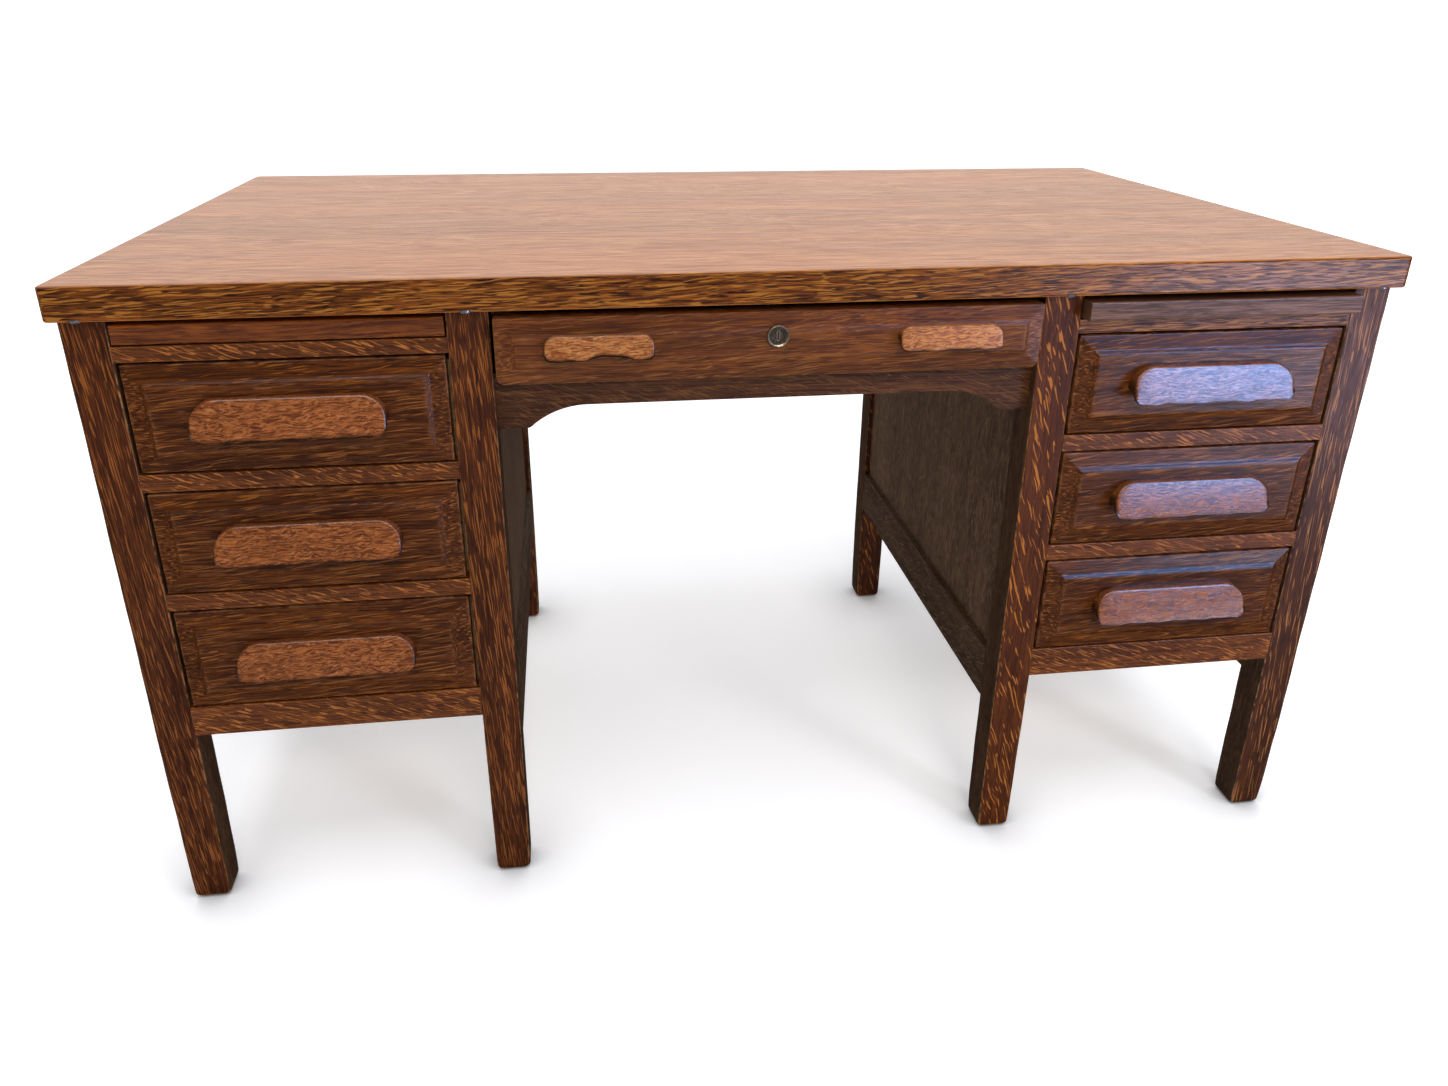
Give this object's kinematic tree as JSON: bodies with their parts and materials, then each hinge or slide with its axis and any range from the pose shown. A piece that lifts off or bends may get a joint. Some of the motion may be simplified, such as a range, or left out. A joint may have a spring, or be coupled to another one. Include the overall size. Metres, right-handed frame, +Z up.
{
  "type": "executive desk",
  "caption": "Oak kneehole desk with a thick overhanging top, drawer pedestals on tapered legs, a locking centre drawer, wooden pulls and pull-out writing slides.",
  "frame": {"origin": "on the floor, under the middle of the desk's overall box", "axes": "+X to the desk's right-hand pedestal as seen from the sitter's side, +Y to the back, +Z up"},
  "size_m": [1.422, 0.8288, 0.762],
  "materials": {
    "top_oak": "satin varnished oak, golden tan",
    "frame_oak": "aged varnished quarter-sawn oak, mid brown",
    "front_oak": "aged varnished oak, dark brown",
    "pull_oak": "worn varnished oak, reddish brown",
    "panel_oak": "dull varnished oak, grey brown",
    "inner_oak": "bare oak, pale and matt",
    "lock_brass": "tarnished brass",
    "stud_steel": "darkened steel"
  },
  "bodies": {
    "carcase": {"right_outer_side_panel": "panel_oak", "left_outer_side_panel": "panel_oak", "right_outer_side_rails": "frame_oak", "left_outer_side_rails": "frame_oak", "right_inner_side_panel": "panel_oak", "left_inner_side_panel": "panel_oak", "right_inner_side_rails": "frame_oak", "left_inner_side_rails": "frame_oak", "right_back_panel": "panel_oak", "left_back_panel": "panel_oak", "pedestal_back_rails": "frame_oak", "right_slide_rail": "frame_oak", "left_slide_rail": "frame_oak", "right_divider_rails": "frame_oak", "left_divider_rails": "frame_oak", "right_bottom_rail": "frame_oak", "left_bottom_rail": "frame_oak", "kneehole_back_rail": "frame_oak", "right_outer_front_leg": "frame_oak", "left_outer_front_leg": "frame_oak", "right_outer_back_leg": "frame_oak", "left_outer_back_leg": "frame_oak", "right_inner_front_leg": "frame_oak", "left_inner_front_leg": "frame_oak", "right_inner_back_leg": "frame_oak", "left_inner_back_leg": "frame_oak", "right_drawer_runners": "inner_oak", "left_drawer_runners": "inner_oak", "centre_drawer_runners": "inner_oak", "kneehole_apron": "frame_oak", "apron_brackets": "frame_oak", "lock_strike_plate": "lock_brass", "top_studs": "stud_steel", "desk_top": "top_oak"},
    "left_top_drawer": {"left_top_drawer_front": "front_oak", "left_top_drawer_pull": "pull_oak", "left_top_drawer_box": "inner_oak"},
    "left_middle_drawer": {"left_middle_drawer_front": "front_oak", "left_middle_drawer_pull": "pull_oak", "left_middle_drawer_box": "inner_oak"},
    "left_bottom_drawer": {"left_bottom_drawer_front": "front_oak", "left_bottom_drawer_pull": "pull_oak", "left_bottom_drawer_box": "inner_oak"},
    "right_top_drawer": {"right_top_drawer_front": "front_oak", "right_top_drawer_pull": "pull_oak", "right_top_drawer_box": "inner_oak"},
    "right_middle_drawer": {"right_middle_drawer_front": "front_oak", "right_middle_drawer_pull": "pull_oak", "right_middle_drawer_box": "inner_oak"},
    "right_bottom_drawer": {"right_bottom_drawer_front": "front_oak", "right_bottom_drawer_pull": "pull_oak", "right_bottom_drawer_box": "inner_oak"},
    "centre_drawer": {"centre_drawer_front": "front_oak", "centre_drawer_pulls": "pull_oak", "centre_drawer_box": "inner_oak", "lock_case": "lock_brass"},
    "lock_plug": {"lock_plug": "lock_brass"},
    "lock_bolt": {"lock_bolt": "lock_brass"},
    "left_writing_slide": {"left_writing_slide": "frame_oak"},
    "right_writing_slide": {"right_writing_slide": "frame_oak"}
  },
  "joints": [
    {"name": "left_top_drawer_slide", "type": "slide", "parent": "carcase", "child": "left_top_drawer", "axis": [0, -1, 0], "range_m": [0, 0.42]},
    {"name": "left_middle_drawer_slide", "type": "slide", "parent": "carcase", "child": "left_middle_drawer", "axis": [0, -1, 0], "range_m": [0, 0.42]},
    {"name": "left_bottom_drawer_slide", "type": "slide", "parent": "carcase", "child": "left_bottom_drawer", "axis": [0, -1, 0], "range_m": [0, 0.42]},
    {"name": "right_top_drawer_slide", "type": "slide", "parent": "carcase", "child": "right_top_drawer", "axis": [0, -1, 0], "range_m": [0, 0.42]},
    {"name": "right_middle_drawer_slide", "type": "slide", "parent": "carcase", "child": "right_middle_drawer", "axis": [0, -1, 0], "range_m": [0, 0.42]},
    {"name": "right_bottom_drawer_slide", "type": "slide", "parent": "carcase", "child": "right_bottom_drawer", "axis": [0, -1, 0], "range_m": [0, 0.42]},
    {"name": "centre_drawer_slide", "type": "slide", "parent": "carcase", "child": "centre_drawer", "axis": [0, -1, 0], "range_m": [0, 0.36]},
    {"name": "left_writing_slide_travel", "type": "slide", "parent": "carcase", "child": "left_writing_slide", "axis": [0, -1, 0], "range_m": [0, 0.3]},
    {"name": "right_writing_slide_travel", "type": "slide", "parent": "carcase", "child": "right_writing_slide", "axis": [0, -1, 0], "range_m": [-0.018, 0.3]},
    {"name": "lock_plug_turn", "type": "hinge", "parent": "centre_drawer", "child": "lock_plug", "pos_m": [0, -0.40047, 0.694], "axis": [0, -1, 0], "range_deg": [0, 90]},
    {"name": "lock_bolt_rise", "type": "slide", "parent": "centre_drawer", "child": "lock_bolt", "axis": [0, 0, 1], "range_m": [0, 0.01202]}
  ],
  "couplings": [
    {"joint": "lock_bolt_rise", "follows": "lock_plug_turn", "m_per_rad": 0.0076528}
  ]
}
